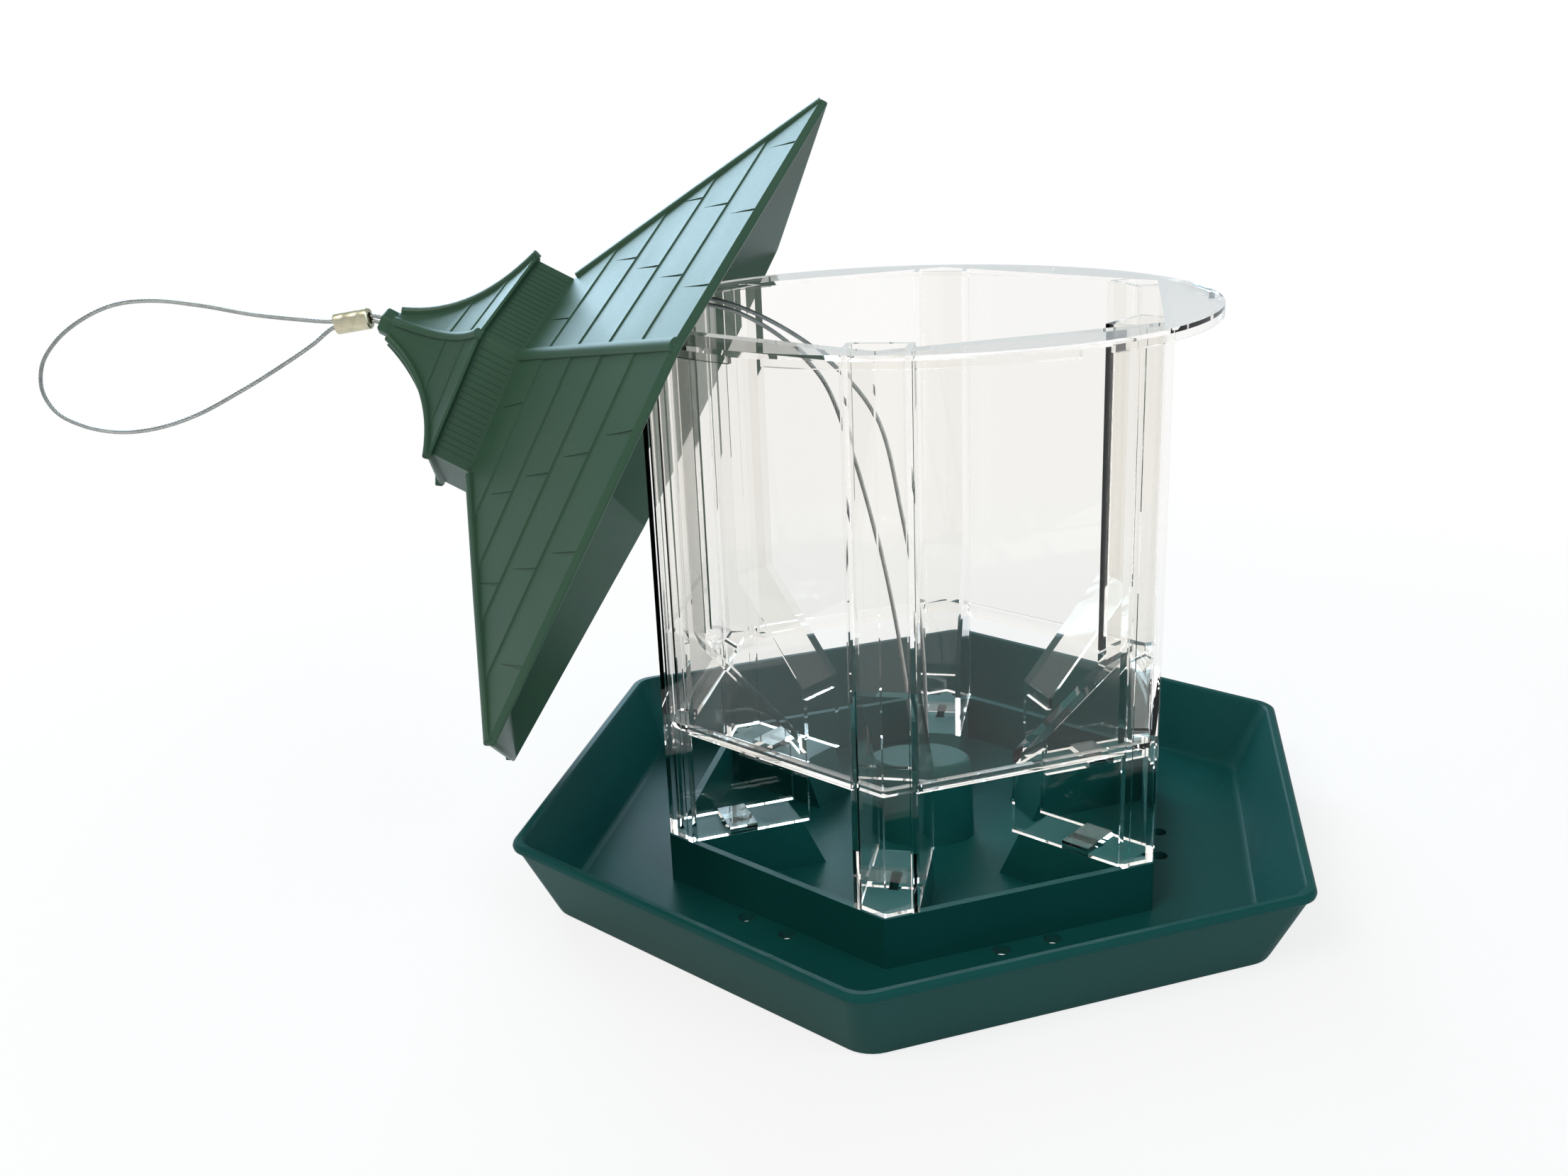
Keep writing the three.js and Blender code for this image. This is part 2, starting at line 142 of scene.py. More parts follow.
def together(name, parts):
    """One object from several that don't touch, used as the cutters of one cut."""
    shape = bmesh.new()
    for part in parts:
        shape.from_mesh(part.data)
        bpy.data.objects.remove(part)
    mesh = bpy.data.meshes.new(name)
    shape.to_mesh(mesh)
    shape.free()
    made = bpy.data.objects.new(name, mesh)
    bpy.context.collection.objects.link(made)
    return made


def settle(made):
    """Applies an object's modifiers, so that its mesh is what is seen."""
    seen = made.evaluated_get(bpy.context.evaluated_depsgraph_get())
    final = bpy.data.meshes.new_from_object(seen)
    made.modifiers.clear()
    made.data = final
    return made


def combine(made, other, operation):
    step = made.modifiers.new("combine", "BOOLEAN")
    step.operation = operation
    step.solver = "MANIFOLD"
    step.object = other
    settle(made)
    bpy.data.objects.remove(other)
    return made


def rounded(made, width, segments=2, angle=30):
    """Rounds every sharp edge by width, and keeps the large faces flat in their shading."""
    step = made.modifiers.new("edges", "BEVEL")
    step.width = width * MM
    step.segments = segments
    step.limit_method = "ANGLE"
    step.angle_limit = math.radians(angle)
    step.use_clamp_overlap = True
    settle(made)
    made.data.shade_smooth()
    made.data.set_sharp_from_angle(angle=math.radians(angle))
    even = made.modifiers.new("even shading", "WEIGHTED_NORMAL")
    even.keep_sharp = True
    even.weight = 100
    return settle(made)


# %% [markdown]
# ## Hexagons
# Nearly everything here is a hexagon, and its corners are a little round. A ring is six arcs. The arc
# stands in from the corner by its radius over the cosine of 30 degrees, so that it meets both sides.

# %% Hexagon rings
CORNERS = [30 + 60 * i for i in range(6)]
FLATS = [60 * i for i in range(6)]
FLAT_SHARE = math.cos(math.radians(30))
ARC_STEPS = 6


def around(angle, distance, height=0.0, aside=0.0):
    """A point at a distance along an angle about Z, and aside from that line."""
    c, s = math.cos(math.radians(angle)), math.sin(math.radians(angle))
    return Vector((distance * c - aside * s, distance * s + aside * c, height))


def hexagon(radius, height, corner=0.4, first=30):
    ring = []
    for turn in range(6):
        angle = first + 60 * turn
        middle = around(angle, radius - corner / FLAT_SHARE)
        for step in range(ARC_STEPS + 1):
            bend = angle - 30 + 60 * step / ARC_STEPS
            ring.append(middle + around(bend, corner, height))
    return ring


def prism(angle, outline, width, aside=0.0):
    """An upright plate cut to [distance, height] points, along an angle about Z."""
    sides = []
    for edge in (aside - width / 2, aside + width / 2):
        sides.append([around(angle, r, z, edge) for r, z in outline])
    return skin(sides)


def barrel(radius, middle, bottom, top, steps=24):
    rings = []
    for height in (bottom, top):
        turns = [360 * i / steps for i in range(steps)]
        rings.append([middle + around(turn, radius, height) for turn in turns])
    return skin(rings)


# %% [markdown]
# ## Shader arithmetic
# A finish is easier to read as a sum than as a web of nodes. This small class holds one socket. Adding or
# multiplying it adds a Math node, and one method adds any other node with its settings and inputs.
# Inputs that share a name are given by number, such as i6 and i7 for the two colours of a Mix node.

# %% Shader helpers
class Wire:
    """One value in a material, with arithmetic."""

    def __init__(self, tree, socket):
        self.tree = tree
        self.socket = socket

    def math(self, operation, first, second):
        node = self.tree.nodes.new("ShaderNodeMath")
        node.operation = operation
        for slot, value in zip(node.inputs, (first, second)):
            feed(self.tree, slot, value)
        return Wire(self.tree, node.outputs[0])

    def __add__(self, other):
        return self.math("ADD", self, other)

    def __radd__(self, other):
        return self.math("ADD", other, self)

    def __sub__(self, other):
        return self.math("SUBTRACT", self, other)

    def __rsub__(self, other):
        return self.math("SUBTRACT", other, self)

    def __mul__(self, other):
        return self.math("MULTIPLY", self, other)

    def __rmul__(self, other):
        return self.math("MULTIPLY", other, self)


def feed(tree, slot, value):
    if isinstance(value, Wire):
        tree.links.new(value.socket, slot)
    else:
        slot.default_value = value


class Finish:
    """A material, or the world, with a method that adds any node."""

    def __init__(self, name, owner=None):
        self.owner = owner or bpy.data.materials.new(name)
        self.owner.use_nodes = True
        self.tree = self.owner.node_tree
        self.tree.nodes.clear()

    def add(self, kind, settings=None, output=0, **inputs):
        node = self.tree.nodes.new("ShaderNode" + kind)
        for key, value in (settings or {}).items():
            setattr(node, key, value)
        for key, value in inputs.items():
            numbered = key[0] == "i" and key[1:].isdigit()
            slot = int(key[1:]) if numbered else key.replace("_", " ")
            feed(self.tree, node.inputs[slot], value)
        return Wire(self.tree, node.outputs[output])

    def done(self, surface):
        kind = "OutputWorld" if isinstance(self.owner, bpy.types.World) else "OutputMaterial"
        node = self.tree.nodes.new("ShaderNode" + kind)
        feed(self.tree, node.inputs["Surface"], surface)
        return self.owner

    def place(self):
        return self.add("TexCoord", output=3)

    def noise(self, scale, detail=2.0):
        return self.add("TexNoise", Vector=self.place(), Scale=scale, Detail=detail)

    def blend(self, share, low, high):
        return self.add("Mix", {"data_type": "RGBA"}, output=2, Factor=share, i6=low, i7=high)


def wear(made, finish):
    made.data.materials.clear()
    made.data.materials.append(finish)
    return made


# %% [markdown]
# ## Moulded green plastic
# The tray and the roof come from one dark teal plastic. Its colour wanders slightly where the melt
# flowed. The roof's mould was spark-eroded, so it has a fine grain, and the tray is smoother.

# %% Green plastics
def moulded(name, deep, light, roughness, gloss, grain_scale, grain):
    look = Finish(name)
    flow = look.noise(28.0, 4.0)
    speck = look.noise(900.0, 2.0)
    color = look.blend(flow, deep, light)
    worn = roughness + 0.1 * (flow - 0.5) + 0.08 * (speck - 0.5)
    pebble = look.noise(grain_scale, 3.0)
    relief = look.add("Bump", Strength=grain, Distance=0.0001, Height=pebble)
    body = look.add(
        "BsdfPrincipled",
        Base_Color=color,
        Roughness=worn,
        Normal=relief,
        IOR=1.5,
        Specular_IOR_Level=gloss,
    )
    return look.done(body)


TRAY_DEEP, TRAY_LIGHT = (0.003, 0.050, 0.046, 1), (0.006, 0.070, 0.064, 1)
ROOF_DEEP, ROOF_LIGHT = (0.020, 0.060, 0.036, 1), (0.046, 0.098, 0.058, 1)
tray_green = moulded("tray_green", TRAY_DEEP, TRAY_LIGHT, 0.40, 0.09, 1400.0, 0.10)
roof_green = moulded("roof_green", ROOF_DEEP, ROOF_LIGHT, 0.42, 0.22, 1900.0, 0.30)
print("green finishes:", tray_green.name, roof_green.name)

# %% [markdown]
# ## Clear hopper plastic
# Flat clear walls hardly bend what lies behind them, and mostly their edges show. At full strength the
# glass shader fills so many thin walls with reflections of each other. So the bending is turned down,
# and a clear coat gives back the gloss. Lamps pass through, because such thin walls throw no shadow.

# %% Clear plastic
def clear_plastic():
    look = Finish("clear_polystyrene")
    swirl = look.noise(60.0, 3.0)
    body = look.add(
        "BsdfPrincipled",
        Base_Color=(0.968, 0.961, 0.945, 1),
        Roughness=0.01 + 0.04 * (swirl * swirl * swirl),
        IOR=1.12,
        Transmission_Weight=1.0,
        Coat_Weight=0.45,
        Coat_Roughness=0.03,
    )
    open_way = look.add("BsdfTransparent", Color=(0.93, 0.93, 0.95, 1))
    lamp_ray = look.add("LightPath", output=1)
    return look.done(look.add("MixShader", Fac=lamp_ray, i1=body, i2=open_way))


clear = clear_plastic()
print("clear finish:", clear.name)

# %% [markdown]
# ## Bare metals
# The cable is galvanised wire, dull in its grooves. The crimp is soft aluminium with a warm tarnish and
# the scratches of the pressing tool.

# %% Metals
def metal(name, color, dark, roughness, scratch_scale, relief_strength):
    look = Finish(name)
    stain = look.noise(500.0, 3.0)
    scratch = look.noise(scratch_scale, 6.0)
    tone = look.blend(stain, dark, color)
    worn = roughness + 0.25 * (scratch - 0.5)
    relief = look.add("Bump", Strength=relief_strength, Distance=0.0001, Height=scratch)
    body = look.add("BsdfPrincipled", Base_Color=tone, Metallic=1.0, Roughness=worn, Normal=relief)
    return look.done(body)


wire_steel = metal("wire_steel", (0.52, 0.52, 0.50, 1), (0.26, 0.26, 0.26, 1), 0.38, 2500.0, 0.1)
crimp_metal = metal("crimp_metal", (0.80, 0.72, 0.52, 1), (0.50, 0.44, 0.32, 1), 0.34, 3000.0, 0.3)
print("metal finishes:", wire_steel.name, crimp_metal.name)

# %% [markdown]
# ## The roof's own frame
# The roof's axis is the line that it slides along, and the point that it swings about lies on it. The
# joints hold both, so the hub, the ferrule and the loop find their places from them.

# %% Roof frame
SWING_RADIUS = 81.05  # from the swing point to the eave plane
ROOF_HEIGHT = 84.2
axis = Vector(joints["roof_slide"]["axis"]).normalized()
swing_point = Vector(joints["roof_swing"]["pos_m"]) / MM
level = axis.cross(UP).normalized()
upslope = level.cross(axis)
hub = swing_point + axis * (SWING_RADIUS + ROOF_HEIGHT)
roof_place = Matrix((upslope, level, axis)).transposed().to_4x4()
roof_place.translation = (swing_point + axis * SWING_RADIUS) * MM

flex = joints["hanger_flex"]
mouth = Vector(flex["pos_m"]) / MM
flex_angle = math.radians(flex["range_deg"][1])
ahead = Matrix.Rotation(-flex_angle, 3, Vector(flex["axis"])) @ axis
over = Vector((ahead.z, 0, -ahead.x)).normalized()
print("roof axis", [round(v, 3) for v in axis], "hub", [round(v, 1) for v in hub])

# %% [markdown]
# ## Wire rope
# The cable is seven wires: one in the middle and six laid round it, a full turn every seven millimetres.
# Each wire is a thin tube that winds about the cable's own line. The line is a smooth curve through
# given points, walked in even steps, and a frame is carried along it so that the wires don't twist.

# %% Wire rope
CABLE_DIAMETER = 1.2
LAY = 7.0
WIRE = CABLE_DIAMETER / 6
STRAND_SPACING = 1.5


def smooth_line(route, spacing):
    """Even points on a centripetal Catmull-Rom curve through a route."""
    p = np.array([list(v) for v in route], float)
    p = np.vstack([2 * p[0] - p[1], p, 2 * p[-1] - p[-2]])
    dense = []
    for a, b, c, d in zip(p, p[1:], p[2:], p[3:]):
        t0 = 0.0
        t1 = t0 + np.linalg.norm(b - a) ** 0.5
        t2 = t1 + np.linalg.norm(c - b) ** 0.5
        t3 = t2 + np.linalg.norm(d - c) ** 0.5
        for t in np.linspace(t1, t2, 24, endpoint=False):
            ab = a + (b - a) * (t - t0) / (t1 - t0)
            bc = b + (c - b) * (t - t1) / (t2 - t1)
            cd = c + (d - c) * (t - t2) / (t3 - t2)
            abc = ab + (bc - ab) * (t - t0) / (t2 - t0)
            bcd = bc + (cd - bc) * (t - t1) / (t3 - t1)
            dense.append(abc + (bcd - abc) * (t - t1) / (t2 - t1))
    dense = np.array(dense + [p[-2]])
    run = np.concatenate([[0], np.cumsum(np.linalg.norm(np.diff(dense, axis=0), axis=1))])
    even = np.linspace(0, run[-1], max(2, int(run[-1] / spacing)))
    return np.stack([np.interp(even, run, dense[:, k]) for k in range(3)], axis=1), run[-1]


def carried_frames(line):
    """Two directions across the line at each point, carried along without twist."""
    along = np.gradient(line, axis=0)
    along /= np.linalg.norm(along, axis=1)[:, None]
    side = np.cross(along[0], (0, 1, 0.2))
    frames = []
    for t in along:
        side = side - t * (side @ t)
        side /= np.linalg.norm(side)
        frames.append((side, np.cross(t, side)))
    return frames


def tube_along(line, frames, radius, sides):
    turns = [2 * math.pi * i / sides for i in range(sides)]
    return [
        [Vector(c + radius * (math.cos(a) * u + math.sin(a) * v)) for a in turns]
        for c, (u, v) in zip(line, frames)
    ]


def rope(name, route):
    line, length = smooth_line(route, LAY / 10)
    frames = carried_frames(line)
    wires = [tube_along(line, frames, WIRE, 6)]
    for wire in range(6):
        wound = []
        for step, (c, (u, v)) in enumerate(zip(line, frames)):
            turn = 2 * math.pi * (wire / 6 + step * (length / (len(line) - 1)) / LAY)
            wound.append(c + 2 * WIRE * (math.cos(turn) * u + math.sin(turn) * v))
        wound = np.array(wound)
        wires.append(tube_along(wound, carried_frames(wound), WIRE, 6))
    points, faces = [], []
    for rings in wires:
        first = len(points)
        more, more_faces = skin(rings)
        points += more
        faces += [tuple(first + i for i in face) for face in more_faces]
    made = piece(name, points, faces)
    made.data.shade_smooth()
    wear(made, wire_steel)
    print(name, "is", round(length), "mm long")
    return made, line, length


# %% [markdown]
# ## The cable inside the feeder
# Two runs rise from the boss in the tray, lean over the hopper's left side and leave through the roof's
# hub. They are slack while the roof is tipped over.

# %% Cable runs
tray_low, tray_high = (Vector(c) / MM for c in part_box("tray"))
hopper_low, hopper_high = (Vector(c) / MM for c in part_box("hopper"))
BOSS_TOP = tray_high.z
HOPPER_TOP = hopper_high.z
CABLE_HOLE_SPACING = 3.8
CABLE_HOLE_DEPTH = 12
GAP = 0.3
UPPER_SLACK = [
    (0.6, 0, -92), (-4.5, 0, -57), (-10.5, -0.5, -31), (-20, -1, -18), (-34, -1.5, -7),
    (-50, -2, 0.6), (-65, -2.6, 3.2), (-80, -4, 2.8), (-95, -6.3, -1.2), (-110, -9.2, -7),
]
LOWER_SLACK = [
    (-6, 1, -94), (-12.5, 1, -60), (-19, 0.4, -36), (-25, -1.2, -20), (-35, -3, -9),
    (-48, -4.4, -1.2), (-63, -5.4, 1.7), (-78, -6.8, 1.6), (-94, -8.6, -3.4), (-109, -10.4, -9.6),
]


def cable_run(name, side, slack):
    offset = side * STRAND_SPACING / 2
    x = side * CABLE_HOLE_SPACING / 2
    route = [
        Vector((x, 0, BOSS_TOP - CABLE_HOLE_DEPTH + GAP)),
        Vector((x, 0, BOSS_TOP - CABLE_HOLE_DEPTH / 2)),
        Vector((x, 0, BOSS_TOP + 2)),
        *(Vector((px, py, HOPPER_TOP + pz)) for px, py, pz in slack),
        *(hub + axis * along + upslope * offset for along in (-22, -15, -8, -1)),
        mouth - ahead * GAP + over * offset,
    ]
    made, _, _ = rope(name, route)
    bend_end = hub - axis * 22
    bend_end * MM
    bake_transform(made)
    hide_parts(name.replace("run", "strand"))
    return made


cable_run("cable_run_right", 1, UPPER_SLACK)
cable_run("cable_run_left", -1, LOWER_SLACK)

# %% [markdown]
# ## The ferrule
# An oval sleeve holds both runs of the cable. A hand press has squeezed it, so it is pinched in two
# places and its ends have flared back. Rings of an oval, scaled along the sleeve, give that shape, and
# a second row of rings, walked back through the middle, gives the bore.

# %% Ferrule
FERRULE_LENGTH = 10.5
FERRULE_WIDTH = 6.0
FERRULE_THICKNESS = 4.2
PINCH = 0.16


def oval(width, thickness, along, steps=14):
    reach = (width - thickness) / 2
    ring = []
    for end in (1, -1):
        for i in range(steps + 1):
            turn = math.pi * (i / steps - 0.5) + (0 if end > 0 else math.pi)
            x = end * reach + thickness / 2 * math.cos(turn)
            y = thickness / 2 * math.sin(turn)
            ring.append(mouth + ahead * along + over * x + ahead.cross(over) * y)
    return ring


def pinched(share):
    """How far the sleeve is squeezed at a share of its length."""
    return sum(math.exp(-(((share - at) / 0.09) ** 2)) for at in (0.3, 0.7))


def ferrule_outline():
    outside = []
    for i in range(33):
        share = i / 32
        edge = min(share, 1 - share) * FERRULE_LENGTH
        chamfer = 0.35 * max(0.0, 1 - edge / 0.35)
        squeeze = PINCH * pinched(share)
        width = FERRULE_WIDTH - 2 * chamfer - 0.3 * squeeze
        thickness = FERRULE_THICKNESS - 2 * chamfer - 2.4 * squeeze
        outside.append(oval(width, thickness, share * FERRULE_LENGTH))
    bore_width = STRAND_SPACING + CABLE_DIAMETER + 2 * GAP
    bore_thickness = CABLE_DIAMETER + 2 * GAP
    inside = [oval(bore_width, bore_thickness, along) for along in (FERRULE_LENGTH, 0)]
    return outside + inside


ferrule = piece("ferrule_sleeve", *skin(ferrule_outline(), closed=True))
ferrule.data.shade_smooth()
ferrule.data.set_sharp_from_angle(angle=math.radians(40))
wear(ferrule, crimp_metal)
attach(ferrule, "hanger")
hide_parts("ferrule")
print("ferrule has", len(ferrule.data.polygons), "faces")

# %% [markdown]
# ## The hanging loop
# Above the ferrule the cable turns back on itself in one springy loop. It keeps its shape in the air
# because wire rope this short is stiff.

# %% Hanging loop
START = FERRULE_LENGTH / 4
SPREAD = STRAND_SPACING / 2
LOOP_ROUTE = [
    (START, SPREAD), (FERRULE_LENGTH + 0.5, SPREAD), (20, 2.6), (34, 6.2), (50, 11.4), (64, 15),
    (77, 15.8), (89, 13.2), (99, 8.6), (105.8, 2.6), (108.3, -4.6), (106, -11.2), (98.6, -16.4),
    (88, -19.8), (76, -20.6), (61, -18.6), (44, -13.6), (28, -8), (19, -4.4),
    (FERRULE_LENGTH + 0.5, -SPREAD), (START, -SPREAD),
]
loop_route = [mouth + ahead * along + over * up for along, up in LOOP_ROUTE]
loop, loop_line, loop_length = rope("hanging_loop", loop_route)
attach(loop, "hanger")
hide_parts("hanger_loop")
loop_route[0] * MM

# %% [markdown]
# ## The tray
# The tray is one moulding. Its wall flares out to a small rolled rim. Inside, a hexagonal curb and six
# pads carry the hopper, and an oval boss anchors the cable. The shell is skinned from rounded hexagons,
# the rest is added as solids, and the drain holes are cut last, so that every edge can be rounded once.

# %% Tray shell
TRAY_RADIUS = tray_high.y
TRAY_HEIGHT = 22.7
TRAY_FLOOR = 2.6
UNDER_RADIUS = TRAY_RADIUS - 10.3
RIM_CORNER, FLOOR_CORNER = 7.0, 9.0


def tray_shell():
    wall_top = TRAY_RADIUS - 1.3
    profile = [  # radius, height, corner
        (UNDER_RADIUS - 1.6, 0.0, FLOOR_CORNER),
        (UNDER_RADIUS - 0.5, 0.3, FLOOR_CORNER),
        (UNDER_RADIUS, 1.2, FLOOR_CORNER),
        (wall_top - 0.3, TRAY_HEIGHT - 3.0, RIM_CORNER),
        (wall_top + 0.5, TRAY_HEIGHT - 2.6, RIM_CORNER),
        (TRAY_RADIUS - 0.2, TRAY_HEIGHT - 2.1, RIM_CORNER),
        (TRAY_RADIUS, TRAY_HEIGHT - 1.3, RIM_CORNER),
        (TRAY_RADIUS - 0.3, TRAY_HEIGHT - 0.5, RIM_CORNER),
        (TRAY_RADIUS - 1.1, TRAY_HEIGHT, RIM_CORNER),
        (wall_top - 1.4, TRAY_HEIGHT - 0.1, RIM_CORNER),
        (wall_top - 2.3, TRAY_HEIGHT - 0.8, RIM_CORNER),
        (UNDER_RADIUS - 1.5, 5.2, FLOOR_CORNER),
        (UNDER_RADIUS - 2.8, 3.4, FLOOR_CORNER),
        (UNDER_RADIUS - 5.0, TRAY_FLOOR, FLOOR_CORNER),
    ]
    return skin([hexagon(*row) for row in profile])


# %% [markdown]
# The curb, the pads and the boss reach a little way down into the floor, so that they join it without a
# seam. Each pad has a slot near its outer end for the tab under the hopper's foot. The drain holes sit in
# pairs just outside the curb, and the two holes in the boss take the ends of the cable.

# %% Tray furniture
HOPPER_RADIUS = 75.3
CURB_RADIUS = HOPPER_RADIUS + 0.4
CURB_TOP = 16.6
PAD_WIDTH = 15
PAD_INNER, PAD_FOOT = 39, 32  # the pad's inner end, at its top and at its foot
SUNK = TRAY_FLOOR / 2  # how far down the parts reach into the floor
BOSS_HALF_LENGTH = 14.4
BOSS_SHAPE = 18 / 28  # width over length


def curb():
    inner = CURB_RADIUS - 2 / FLAT_SHARE
    rows = [(inner, SUNK), (CURB_RADIUS, SUNK), (CURB_RADIUS, CURB_TOP), (inner, CURB_TOP)]
    return piece("curb", *skin([hexagon(r, z, 0.8) for r, z in rows], closed=True))


def pad(angle):
    outer, top = CURB_RADIUS - 5.2, CURB_TOP - 0.02
    outline = [(PAD_FOOT, SUNK), (outer, SUNK), (outer, top), (PAD_INNER, top)]
    return piece("pad", *prism(angle, outline, PAD_WIDTH))


def pad_corner(angle):
    """Fills the pocket between a pad's outer end and the curb's corner."""
    inner, outer, top = CURB_RADIUS - 8, CURB_RADIUS - 1.2, CURB_TOP - 0.04
    outline = [(inner, SUNK), (outer, SUNK), (outer, top), (inner, top)]
    return piece("pad_corner", *prism(angle, outline, 4))


def boss():
    profile = [(1.2, SUNK), (0.5, 20), (0, BOSS_TOP - 1.6), (-0.5, BOSS_TOP - 0.5), (-1.4, BOSS_TOP)]
    turns = [2 * math.pi * i / 48 for i in range(48)]
    rings = []
    for wider, height in profile:
        half = BOSS_HALF_LENGTH + wider
        depth = half * BOSS_SHAPE
        rings.append([Vector((half * math.cos(t), depth * math.sin(t), height)) for t in turns])
    return piece("boss", *skin(rings))


def tray_cutters():
    drain, drain_gap = 2.3, 14.4
    drain_at = CURB_RADIUS * FLAT_SHARE + drain + GAP
    cutters = []
    for angle in FLATS:
        for side in (-1, 1):
            middle = around(angle, drain_at, 0, side * drain_gap / 2)
            cutters.append(piece("drain", *barrel(drain, middle, -1, TRAY_FLOOR + 1)))
    for side in (-1, 1):
        middle = Vector((side * CABLE_HOLE_SPACING / 2, 0, 0))
        low = BOSS_TOP - CABLE_HOLE_DEPTH
        cutters.append(piece("hole", *barrel(0.9, middle, low, BOSS_TOP + 1, 16)))
    for angle in CORNERS:
        low = CURB_TOP - 4.3
        outline = [(51.7, low), (60.3, low), (60.3, CURB_TOP + 1), (51.7, CURB_TOP + 1)]
        cutters.append(piece("slot", *prism(angle, outline, 3.0)))
    return together("tray_cutters", cutters)


tray = piece("tray_moulding", *tray_shell())
for addition in [curb(), boss(), *map(pad, CORNERS), *map(pad_corner, CORNERS)]:
    combine(tray, addition, "UNION")
combine(tray, tray_cutters(), "DIFFERENCE")
rounded(tray, 0.45, 2, 32)
wear(tray, tray_green)
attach(tray, "root")
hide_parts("tray")
print("tray has", len(tray.data.polygons), "faces")

# %% [markdown]
# ## The hopper
# The clear hopper keeps its exact shape, since its walls, posts and chutes are flat plates. Clear plastic
# shows its edges more than its faces: each edge catches a thin line of light. So its copied mesh is
# cleaned of needless edges, and every sharp edge is rounded by a fraction of a millimetre.

# %% Hopper
def copied(node, name):
    made = bpy.data.objects.new(name, frame["nodes"][node].data.copy())
    bpy.context.collection.objects.link(made)
    shape = bmesh.new()
    shape.from_mesh(made.data)
    bmesh.ops.remove_doubles(shape, verts=shape.verts, dist=2e-6)
    bmesh.ops.dissolve_limit(
        shape, angle_limit=math.radians(1), verts=shape.verts, edges=shape.edges
    )
    shape.to_mesh(made.data)
    shape.free()
    return made


hopper = copied("hopper", "hopper_moulding")
rounded(hopper, 0.3, 2, 32)
wear(hopper, clear)
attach(hopper, "root")
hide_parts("hopper")
print("hopper has", len(hopper.data.polygons), "faces")

# %% [markdown]
# ## The roof
# The roof is a thin hexagonal shell in two tiers, like a small pagoda. Courses of slates run round the
# lower tier: each course stands a little proud of the next one up, and short slanted joints break it.
# All of it is modelled, because the steps catch the light along their whole length.

# %% Roof profile
EAVE_RADIUS = 105.25
EAVE_THICKNESS = 1.5
TIER_RISE = 39.5
COLLAR_RADIUS = 34.6
COLLAR_RISE = 11.6
UPPER_EAVE = 1.5
HUB_RADIUS = 4.0
COURSES = 5
COURSE_STEP = 0.45
SLOPE = TIER_RISE / (EAVE_RADIUS - COLLAR_RADIUS)
TIER_TOP = TIER_RISE + EAVE_THICKNESS
COLLAR_TOP = TIER_TOP + COLLAR_RISE


def bezier(start, control, end, steps):
    rows = []
    for i in range(steps + 1):
        t = i / steps
        weights = (1 - t) ** 2, 2 * t * (1 - t), t * t
        ends = zip(start, control, end)
        rows.append(tuple(sum(w * v for w, v in zip(weights, values)) for values in ends))
    return rows


def tier_point(share):
    """Radius and height on the lower tier, from the eave at 0 to the collar at 1."""
    return EAVE_RADIUS + share * (COLLAR_RADIUS - EAVE_RADIUS), EAVE_THICKNESS + share * TIER_RISE


def outer_rows():
    rows = [(EAVE_RADIUS - 0.3, 0.0), (EAVE_RADIUS, 0.4)]
    for course in range(COURSES):
        low, high = tier_point(course / COURSES), tier_point((course + 1) / COURSES)
        rows += [(low[0], low[1] + COURSE_STEP), (high[0], high[1] + 0.02)]
    rows += [(COLLAR_RADIUS, COLLAR_TOP - 1.2), (COLLAR_RADIUS + UPPER_EAVE, COLLAR_TOP - 0.7)]
    upper = bezier(
        (COLLAR_RADIUS + UPPER_EAVE, COLLAR_TOP),
        (HUB_RADIUS + 8, COLLAR_TOP + 9),
        (HUB_RADIUS + 0.8, ROOF_HEIGHT - 4),
        15,
    )
    collar_up = [(HUB_RADIUS, ROOF_HEIGHT - 3.4), (HUB_RADIUS, ROOF_HEIGHT - 0.4)]
    return rows + upper + collar_up + [(HUB_RADIUS - 0.4, ROOF_HEIGHT)]


def upper_rows():
    return [row for row in outer_rows() if COLLAR_TOP <= row[1] < ROOF_HEIGHT - 3.4]


def inner_rows():
    eave = EAVE_RADIUS - 0.9 / SLOPE
    collar = COLLAR_RADIUS - 2.4
    foot = SLOPE * (eave - collar)
    bore = 1.95
    upper = bezier(
        (collar, foot + COLLAR_RISE - 0.5),
        (HUB_RADIUS + 4, foot + COLLAR_RISE + 7.5),
        (bore, ROOF_HEIGHT - 8),
        12,
    )
    return [(bore, ROOF_HEIGHT)] + upper[::-1] + [(collar, foot), (eave, 0.0)]


def roof_shell():
    rings = []
    for radius, height in outer_rows() + inner_rows():
        rings.append(hexagon(radius, height, min(0.8, radius / 6), first=0))
    return piece("roof_shell", *skin(rings, closed=True))


# %% [markdown]
# The slanted joints are thin wedges cut into each course. They start at the lower edge of a slate and
# fade out half-way up it. Their places shift from course to course, as a slater lays them, and they
# lean the other way on every other face.

# %% Slate joints
JOINT_DEPTH = 0.4
JOINT_WIDTH = 1.1
SPACING = 31.0


def on_face(angle, share, aside, lift):
    """A point on a lower face: share runs up the slope and aside along the course."""
    radius, height = tier_point(share)
    rise = Vector((math.cos(math.radians(angle)), math.sin(math.radians(angle)), 0)) * SLOPE
    outward = (rise / FLAT_SHARE + UP).normalized()
    return around(angle, radius * FLAT_SHARE, height, aside) + outward * lift


